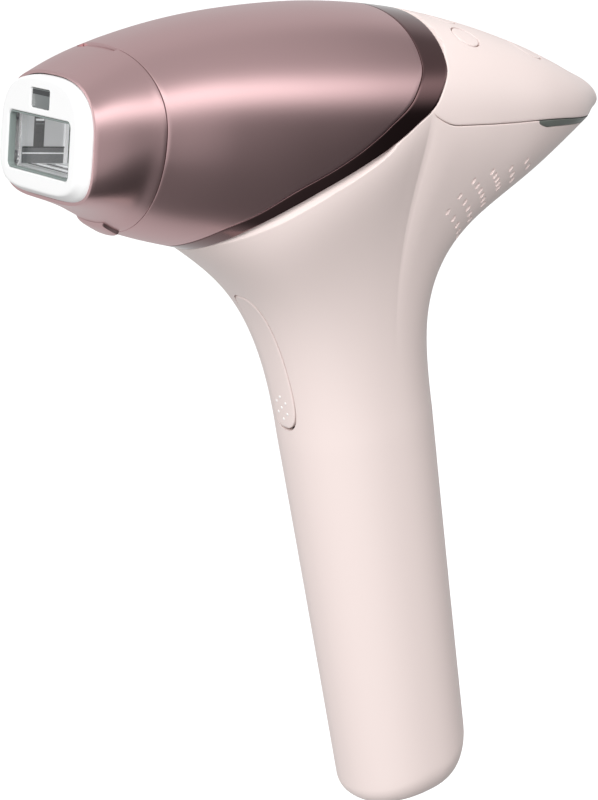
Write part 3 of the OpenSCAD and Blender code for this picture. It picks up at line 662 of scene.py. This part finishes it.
# status strip under the rear seam, one piece across the tail
th = np.linspace(-1, 1, 121)
dd = np.array([0.03, 0.06, 0.14, 0.28, 0.6, 1.0, 1.4, 1.72, 1.86, 1.94, 1.98])
D, Q = np.meshgrid(dd, th, indexing="ij")
Th = lerp(180, LENS_TH + slant(D), np.abs(Q))
T = np.where(Q > 0, 360 - Th, Th)
er = np.minimum(np.minimum(D - 0.02, 2.0 - D), np.radians(Th - LENS_TH - slant(D)) * 26)
tt = 0.22 - np.sqrt(np.maximum(0, 0.22 ** 2 - np.maximum(0, 0.22 - er) ** 2))
O, I = flare(Th, lens_v(Th, D), tt), flare(Th, lens_v(Th, D), WALL)
for P in (O, I):
    P[..., 0] *= np.where(T > 180, -1, 1)
place(patch_shell("status_strip", O, I, LENS), "body", "lens_grey", "status_light_lens")

# rear cover
fe = np.array([0, 0.02, 0.08, 0.16, 0.25, 0.5]) / 44.0
fc = 1 - fe[-1]
F1 = np.concatenate([-1 + fe, np.linspace(-fc, fc, 141)[1:-1], (1 - fe)[::-1]])
RR = 0.25


def cover_pt(d_or_u, f, t, in_mm):
    e = TAIL_END - t - TIP_GAP
    a0 = CORNER_ANG * np.abs(f)
    u = np.minimum(1, d_or_u / (e - band_r(a0))) if in_mm else d_or_u
    sc = lerp(CORNER_POS, e, u)
    P = skin(lerp(band_r(a0), e, u), seam_ang(sc) * np.abs(f), t)
    P[..., 0] *= np.where(f < 0, -1, 1)
    return P


def round_t(d, r):
    return r - np.sqrt(np.maximum(0, r * r - np.maximum(0, r - d) ** 2))


CS = 52.0


def cover_scoop(f, d):
    x = np.clip(CORNER_ANG * np.abs(f) / CS, 0, 1)
    w = 1.75 * (1 - 0.35 * x) * np.sqrt(np.maximum(0, 1 - x ** 12)) + 1e-6
    return 1.2 * np.minimum(1, w) * (1 - np.clip(d / w, 0, 1) ** 4)


dn = [0.0, 0.02, 0.08, 0.16, 0.25, 0.5, 0.75, 1.0, 1.2, 1.35, 1.5, 1.65, 1.75, 1.9, 2.3, 3.0]
side_d = (1 - np.abs(F1)) * 44.0
O, I = [], []
for d in dn:
    t = np.maximum(np.maximum(round_t(np.minimum(d, side_d), RR), cover_scoop(F1, d)), 0)
    O.append(np.stack([cover_pt(np.array([d]), np.array([f]), np.array([tq]), True)[0]
                       for f, tq in zip(F1, t)]))
    I.append(cover_pt(np.full(F1.shape, d), F1, np.full(F1.shape, WALL), True))
u0 = 3.0 / (TAIL_END - band_r(CORNER_ANG * np.abs(F1)))
us = np.sin(np.pi / 2 * np.linspace(0, 1, 81)[1:])
for u in us:
    t = round_t(side_d * (0.25 + 0.75 * (1 - u)), RR)
    O.append(np.stack([cover_pt(np.array([lerp(q, 1, u)]), np.array([f]), np.array([tq]), False)[0]
                       for q, f, tq in zip(u0, F1, t)]))
    I.append(cover_pt(lerp(u0, 1, u), F1, np.full(F1.shape, WALL), False))
cover = patch_shell("rear_cover_skin", np.array(O), np.array(I), PALE)

# ---------------------------------------------------------------- keys
# name, distance back, angle from the top, radius of the hole
KEYS = [("minus", 113.75, -35.5, 4.0), ("plus", 113.75, 35.5, 4.0), ("smart", 113.5, 13.5, 4.0),
        ("power", 140.0, 25.0, 5.2)]
HOLE_GAP, CAP_GAP = 0.3, 0.12
HOLE_DEPTH, CAP_DEPTH, FLANGE, FLANGE_LOW = 5.5, 3.2, 0.6, 4.4


def skin2(s, a):
    P = skin(s, np.abs(a))
    P[..., 0] *= np.where(np.asarray(a) < 0, -1, 1)
    return P


def key_frame(s0, a0):
    p = skin2(np.array([s0]), np.array([a0]))[0]
    ds = skin2(np.array([s0 + 1]), np.array([a0]))[0] - skin2(np.array([s0 - 1]), np.array([a0]))[0]
    da = skin2(np.array([s0]), np.array([a0 + 2]))[0] - skin2(np.array([s0]), np.array([a0 - 2]))[0]
    n = np.cross(da, ds)
    n /= np.linalg.norm(n)
    if n[2] < 0:
        n = -n
    ex = ds / np.linalg.norm(ds)
    return p, n, ex, np.cross(n, ex)


def share_pt(s, p):
    """Skin by its sideways share p of the upper section, smooth across the top."""
    return skin2(s, np.sign(p) * np.degrees(np.arcsin(np.minimum(1, np.abs(p) ** 1.125))))


def conform(key, dx, dy):
    """Skin points straight under the tangent-plane offsets (dx, dy) of a key."""
    _, s0, a0, _ = key
    p, n, ex, ey = key_frame(s0, a0)
    share = math.copysign(math.sin(math.radians(abs(a0))) ** (2 / 2.25), a0)
    s, a = np.full(dx.shape, s0), np.full(dx.shape, share)
    for _ in range(10):
        q = share_pt(s, a)
        r = np.stack([dx - (q - p) @ ex, dy - (q - p) @ ey], -1)
        js, ja = (share_pt(s + 0.01, a) - q) / 0.01, (share_pt(s, a + 0.0005) - q) / 0.0005
        m = np.stack([np.stack([js @ ex, ja @ ex], -1), np.stack([js @ ey, ja @ ey], -1)], -2)
        st = np.linalg.solve(m, r[..., None])[..., 0]
        s, a = s + st[..., 0], a + st[..., 1]
    return share_pt(s, a), n


def disc(key, prof, seg, mat, name):
    """Closed turned piece on the key axis; prof lists (radius, depth, follows the skin), top first."""
    p, n, ex, ey = key_frame(key[1], key[2])
    an = np.linspace(0, 2 * math.pi, seg, endpoint=False)
    rows = []
    for r, d, on_skin in prof:
        dx, dy = r * np.cos(an), r * np.sin(an)
        if on_skin:
            q, _ = conform(key, dx, dy)
        else:
            q = p + dx[:, None] * ex + dy[:, None] * ey
        rows.append(q - n * d)
    V = np.array(rows).reshape(-1, 3)
    F = grid_faces(len(prof), seg, False, True)
    F.append(list(range(seg))[::-1])
    F.append([(len(prof) - 1) * seg + j for j in range(seg)])
    if volume_sign(V, F) < 0:
        F = [f[::-1] for f in F]
    return mesh_obj(name, V, F, mat, 40)


cuts = []
for key in KEYS:
    r = key[3]
    hole = [(r + 0.38, -2.0, False), (r + 0.38, -0.02, True), (r + 0.33, 0.04, True)]
    hole += [(r + HOLE_GAP, 0.12, True), (r + HOLE_GAP, 0.4, True), (r + HOLE_GAP, HOLE_DEPTH, False)]
    cuts.append(disc(key, hole, 96, None, "keycut"))
cut(cover, join(cuts))
place(cover, "body", "pale_shell", "rear_cover")
NODE_OF = {"minus": "button_minus", "plus": "button_plus", "smart": "button_smart", "power": "power_button"}
for key in KEYS:
    r = key[3]
    prof = [(0.02, 0.0, True)] + [(r * k, 0.0, True) for k in (0.12, 0.25, 0.4, 0.55, 0.68, 0.78)]
    prof += [(r - CAP_GAP - e, t, True) for e, t in edge_arc(0.18)[::-1]]
    prof += [(r - CAP_GAP, CAP_DEPTH, False), (r + FLANGE, CAP_DEPTH, False)]
    prof += [(r + FLANGE, FLANGE_LOW, False)]
    cap = disc(key, prof, 96, PALE, "key_" + key[0] + "_cap")
    place(cap, "key_" + key[0], "pale_shell", NODE_OF[key[0]])

# ---------------------------------------------------------------- trigger
LEN_TR = float(np.linalg.norm(flare(0, TRIG_V1) - flare(0, TRIG_V0)))


def leaf_t(w, f):
    d = np.minimum((1 - np.abs(f)) * np.radians(trig_th(w)) * 19, np.minimum(w, 1 - w) * LEN_TR)
    return -0.25 + round_t(d, 0.45)


leaf = patch_shell("trigger_leaf", trig_grid(leaf_t), trig_grid(lambda w, f: w * 0 + 1.6), PALE, 40)
place(leaf, "trigger", "pale_shell", "trigger")
# seven small grip dots in a ring on the lower part of the leaf
dots = []
for dth, dv in [(0, 0.9), (0, 0.868), (0, 0.932)] + [(x, v) for x in (-5, 5) for v in (0.884, 0.916)]:
    p, q = flare(abs(dth), dv, -0.25), flare(abs(dth), dv, 0.75)
    sgn = np.array([-1 if dth < 0 else 1, 1, 1])
    nrm = Vector((p - q) * sgn).normalized()
    turn = np.array(Vector((0, 0, 1)).rotation_difference(nrm).to_matrix())
    dots.append(ball(p * sgn, 0.42, (1, 1, 0.45), 16, turn))
dots = join(dots)
dots.name = "trigger_dots"
dots.data.materials.append(DOT)
dots.data.shade_smooth()
place(dots, "trigger", "pale_shell")

# ---------------------------------------------------------------- nose
NS = np.array([0.02, 0.06, 0.16, 0.34, 0.6, 1.1, 1.9, 2.7, 3.4, 8.2])
NW = np.array([17.85, 18.3, 18.65, 18.95, 19.22, 19.62, 20.25, 20.95, 21.05, 20.5])
NT = np.array([16.15, 16.35, 16.45, 16.52, 16.58, 16.7, 16.9, 17.02, 17.04, 17.0])
NB = np.array([-10.3, -10.6, -10.82, -10.98, -11.08, -11.3, -11.75, -12.15, -12.22, -12.0])
NA = np.arange(240) * 360.0 / 240
NOSE_MID, NOSE_S = 2.4, [0, 0.7, 3, 8]


def nose_ring(s, inset=0.0):
    w, t, b = np.interp(s, NS, NW) - inset, np.interp(s, NS, NT) - inset, np.interp(s, NS, NB) + inset
    c = cosd(NA)
    n_top = np.interp(s, NOSE_S, [2.85, 2.8, 2.64, 2.4])
    n_low = np.interp(s, NOSE_S, [4.5, 4.6, 4.9, 3.8])
    n = np.where(c >= 0, n_top, n_low)
    half = np.where(c >= 0, t - NOSE_MID, NOSE_MID - b)
    up_z = NOSE_MID + half * spow(c, 2 / n) + WZ
    return np.stack([w * spow(sind(NA), 2 / n), NA * 0 + s - NOSE, up_z], -1)


rows = [nose_ring(0.0201, 1.2), nose_ring(0.02, 0.45)] + [nose_ring(s) for s in NS[:-1]]
rows += [nose_ring(s) for s in (4.0, 5.5, 7.0, 8.0)]
rows += [nose_ring(8.0, 1.2), nose_ring(5.0, 1.2), nose_ring(3.2, 1.2), nose_ring(1.9, 1.6)]
rows[0][:, 1] = 0.02 - NOSE
V = np.array(rows).reshape(-1, 3)
nseg = len(NA)
F = grid_faces(len(rows), nseg, False, True)
F.append(list(range(nseg))[::-1])
F.append([(len(rows) - 1) * nseg + j for j in range(nseg)])
if volume_sign(V, F) < 0:
    F = [f[::-1] for f in F]
nose = mesh_obj("nose_frame", V, F, WHITE, 38)


def round_rect(w, h, r, k=10):
    """Outline of a rounded rectangle, (x, z)."""
    out = []
    cw, ch = w / 2 - r, h / 2 - r
    for cx, cz, a0 in ((cw, ch, 0), (-cw, ch, 90), (-cw, -ch, 180), (cw, -ch, 270)):
        for i in range(k + 1):
            a = math.radians(a0 + 90 * i / k)
            out.append((cx + r * math.cos(a), cz + r * math.sin(a)))
    return np.array(out)


def rr_rows(prof, z=0.0, x=0.0):
    """Rows of rounded rectangles: (width, height, corner, s)."""
    rows = []
    for w, h, r, s in prof:
        q = round_rect(w, h, r)
        rows.append(np.stack([q[:, 0] + x, q[:, 0] * 0 + s - NOSE, q[:, 1] + WZ + z], -1))
    return rows


def rr_solid(name, prof, mat, z=0.0, x=0.0, sharp=35):
    """Closed stack of rounded rectangles with flat ends."""
    rows = rr_rows(prof, z, x)
    V = np.array(rows).reshape(-1, 3)
    n = len(rows[0])
    F = grid_faces(len(rows), n, False, True)
    F += [list(range(n))[::-1], [(len(rows) - 1) * n + j for j in range(n)]]
    if volume_sign(V, F) < 0:
        F = [f[::-1] for f in F]
    return mesh_obj(name, V, F, mat, sharp)


WW, WH, WIN_Z = 30.3, 14.1, 0.3
SW, SH, SZ = 9.3, 4.75, 11.4
soft = [(0.9, -1.0), (0.9, 0.0), (0.62, 0.05), (0.32, 0.18), (0.1, 0.42), (0.0, 0.72), (0.0, 5.0)]
wc = rr_solid("wcut", [(WW + e, WH + e, 1.6 + e / 2, s) for e, s in soft], None, WIN_Z)
sc_ = rr_solid("scut", [(SW + e * 0.5, SH + e * 0.5, 0.5 + e / 4, s) for e, s in soft], None, SZ)
cut(nose, join([wc, sc_]))
place(nose, "contact_frame", "white_frame", "contact_frame")
gw, gh = WW - 0.1, WH - 0.1
# how much narrower the lip is, its corner radius, its distance back
lip = [(0, 1.55, 2.0), (0, 1.55, 0.6), (0.12, 1.5, 0.42), (0.5, 1.3, 0.32), (0.62, 1.25, 0.32),
       (0.82, 1.15, 0.42), (0.9, 1.1, 0.6), (0.9, 1.1, 2.0)]
ring = [(gw - e, gh - e, r, s) for e, r, s in lip]
seal = ring_shell("window_seal", rr_rows(ring, WIN_Z), True, SEAL)
place(seal, "contact_frame", "gasket", "window_gasket")
pane = rr_solid("sensor_pane", [(SW - 0.14, SH - 0.14, 0.4, 1.9), (SW - 0.14, SH - 0.14, 0.4, 0.6),
                                (SW - 0.2, SH - 0.2, 0.38, 0.5), (SW - 0.4, SH - 0.4, 0.3, 0.46)], PANE, SZ)
place(pane, "contact_frame", "sensor_dark", "skin_sensor_window")
# inside the light duct: strips on its far wall and floor, in painted highlight and painted shade, draw the
# folded edges and a slotted stop
# name, width, height, front, rear, sideways, up, material
for nm, w, h, s0, s1, x, z, mt in (
        ("stop_painted_shade", 0.3, 8.3, 7.7, 10.5, -14.3, 2.3, PAINTED_SHADE_DARK),
        ("stop_tab_a", 0.2, 0.5, 7.9, 10.2, -14.02, 4.9, PAINTED_HIGHLIGHT_GLOW),
        ("stop_tab_b", 0.2, 0.35, 7.9, 10.2, -14.02, 3.9, SHADE),
        ("post_painted_highlight", 0.5, 12.3, 16.4, 17.4, -14.2, 0.3, PAINTED_HIGHLIGHT_GLOW),
        ("post_painted_shade", 0.5, 12.3, 17.45, 18.1, -14.2, 0.3, PAINTED_SHADE_DARK),
        ("low_wall", 0.25, 3.9, 4.6, 16.3, -14.33, -3.95, SHADE),
        ("low_wall_b", 0.25, 3.2, 18.2, 20.4, -14.33, -4.3, SHADE),
        ("low_line", 0.3, 0.35, 4.6, 16.3, -14.1, -1.9, PAINTED_SHADE_DARK),
        ("low_line_b", 0.3, 0.3, 4.6, 16.3, -14.1, -3.4, PAINTED_HIGHLIGHT_GLOW),
        ("floor_a", 23, 0.12, 6.2, 6.8, -2.5, -5.88, PAINTED_SHADE_DARK),
        ("floor_b", 21, 0.12, 8.4, 8.8, -3, -5.88, PAINTED_HIGHLIGHT_GLOW),
        ("floor_c", 15, 0.12, 10.6, 11.4, -5, -5.88, PAINTED_SHADE_DARK),
        ("floor_d", 19, 0.12, 13.2, 13.6, -3, -5.88, PAINTED_HIGHLIGHT_GLOW)):
    pc = rr_solid("duct_" + nm, [(w, h, 0.05, s0), (w, h, 0.05, s1)], mt, z, x)
    place(pc, "attachment", "mirror")
bar_w, bar_h, bar_up = SW - 0.7, 1.15, 1.45
bar = rr_solid("sensor_bar", [(bar_w, bar_h, 0.2, 0.5), (bar_w, bar_h, 0.2, 0.43)], PANE_DARK, SZ + bar_up)
place(bar, "contact_frame", "sensor_dark")

# ---------------------------------------------------------------- camera, floor and light
cam = bpy.data.objects.new("camera", bpy.data.cameras.new("camera"))
scene.collection.objects.link(cam)
scene.camera = cam
AZ, EL, ROLL = math.radians(54), math.radians(11.5), math.radians(4.4)
back = Vector((math.sin(AZ) * math.cos(EL), -math.cos(AZ) * math.cos(EL), math.sin(EL)))
rt = Vector((math.cos(AZ), math.sin(AZ), 0))
up = back.cross(rt)
r2, u2 = rt * math.cos(ROLL) + up * math.sin(ROLL), -rt * math.sin(ROLL) + up * math.cos(ROLL)
loc = Vector((0, -0.0474, 0.1137)) + back * 0.64
m = Matrix((r2, u2, back)).transposed().to_4x4()
m.translation = loc
cam.matrix_world = m
cam.data.sensor_width = 36
cam.data.lens = 108
cam.data.clip_start, cam.data.clip_end = 0.01, 200

me = bpy.data.meshes.new("floor")
me.from_pydata([(-60, -60, 0), (60, -60, 0), (60, 60, 0), (-60, 60, 0)], [], [(0, 1, 2, 3)])
floor = bpy.data.objects.new("floor", me)
floor.location = (0, 0, -0.26)
me.materials.append(mat_base("floor_paper", (0.9, 0.9, 0.9), 0.0, 0.9, Specular_IOR_Level=0.0,
                             Emission_Color=(1, 1, 1, 1), Emission_Strength=0.5))
floor.visible_glossy = floor.visible_diffuse = floor.visible_transmission = False
scene.collection.objects.link(floor)


def area(name, loc, target, size, size_y, power, color=(1, 1, 1)):
    d = bpy.data.lights.new(name, "AREA")
    d.shape, d.size, d.size_y, d.energy, d.color = "RECTANGLE", size, size_y, power, color
    o = bpy.data.objects.new(name, d)
    o.location = loc
    o.rotation_mode = "QUATERNION"
    o.rotation_quaternion = (Vector(target) - Vector(loc)).to_track_quat("-Z", "Y")
    scene.collection.objects.link(o)
    return o


world = bpy.data.worlds.new("studio")
scene.world = world
world.use_nodes = True
nt = world.node_tree
nt.nodes.clear()
outp = nt.nodes.new("ShaderNodeOutputWorld")
bg = nt.nodes.new("ShaderNodeBackground")
nt.links.new(bg.outputs[0], outp.inputs[0])
tc = nt.nodes.new("ShaderNodeTexCoord")
sep = nt.nodes.new("ShaderNodeSeparateXYZ")
nt.links.new(tc.outputs["Generated"], sep.inputs[0])


def node(kind, *ins, **props):
    n = nt.nodes.new(kind)
    for k, v in props.items():
        setattr(n, k, v)
    for i, v in enumerate(ins):
        if v is None:
            continue
        if hasattr(v, "links"):
            nt.links.new(v, n.inputs[i])
        else:
            n.inputs[i].default_value = v
    return n.outputs[0]


def mth(op, a, b=None, c=None):
    return node("ShaderNodeMath", a, b, c, operation=op)


def ramp_between(x, lo, hi):
    """0 below lo, 1 above hi, smooth."""
    n = nt.nodes.new("ShaderNodeMapRange")
    n.interpolation_type = "SMOOTHERSTEP"
    nt.links.new(x, n.inputs["Value"])
    n.inputs["From Min"].default_value, n.inputs["From Max"].default_value = lo, hi
    return n.outputs["Result"]


# studio all round: a long bright strip up on the +X side, dark below it, mid grey elsewhere
X, Y, Z = sep.outputs
t_side = ramp_between(X, 0.0, 0.45)
t_back = ramp_between(Y, -0.15, 0.29)
t_low = ramp_between(X, -0.15, 0.22)
zc = mth("SUBTRACT", 0.64, mth("MULTIPLY", ramp_between(Y, -0.1, 0.6), 0.2))
off = mth("SUBTRACT", Z, zc)
off = mth("DIVIDE", off, mth("ADD", 0.115, mth("MULTIPLY", mth("LESS_THAN", off, 0.0), 0.075)))
strip = mth("POWER", 2.718, mth("MULTIPLY", mth("MULTIPLY", off, off), -1.0))
amp = mth("SUBTRACT", 1.7, mth("MULTIPLY", ramp_between(Y, 0.05, 0.8), 1.2))
strip = mth("MULTIPLY", mth("MULTIPLY", strip, amp), t_side)
below = ramp_between(mth("SUBTRACT", zc, Z), 0.1, 0.4)
dark = mth("MULTIPLY", mth("MULTIPLY", t_low, t_back), below)
right = ramp_between(X, -0.55, 0.0)
base = mth("SUBTRACT", mth("SUBTRACT", 0.63, mth("MULTIPLY", right, 0.08)),
           mth("MULTIPLY", mth("MULTIPLY", ramp_between(Y, 0.25, 0.7), right), 0.23))
dark_depth = mth("ADD", 0.78, mth("MULTIPLY", ramp_between(Y, 0.35, 0.6), 0.1))
dimmed = mth("MULTIPLY", base, mth("SUBTRACT", 1.0, mth("MULTIPLY", dark, dark_depth)))
level = mth("ADD", dimmed, strip)
nt.links.new(level, bg.inputs["Strength"])
bg.inputs["Color"].default_value = (1, 1, 1, 1)


def soft_light(name, az, el, dist, size, power):
    a, e = math.radians(az), math.radians(el)
    c = Vector((0, -0.03, 0.12))
    way = Vector((math.sin(a) * math.cos(e), -math.cos(a) * math.cos(e), math.sin(e)))
    o = area(name, c + way * dist, c, size, size, power)
    o.visible_glossy = False
    return o


soft_light("key_light", 39, 26, 2.2, 1.4, 31)
soft_light("top_light", 60, 80, 2.2, 1.6, 10)
# a small panel beside the nose that only the glossy pieces see
side = area("side_panel", (0.25, -0.22, 0.19), (0, -0.22, 0.19), 0.32, 0.24, 0.085)
side.visible_diffuse = side.visible_camera = False

scene.view_settings.view_transform = "Standard"
scene.view_settings.look = "None"
scene.view_settings.exposure = 0.0
scene.view_settings.gamma = 1.0
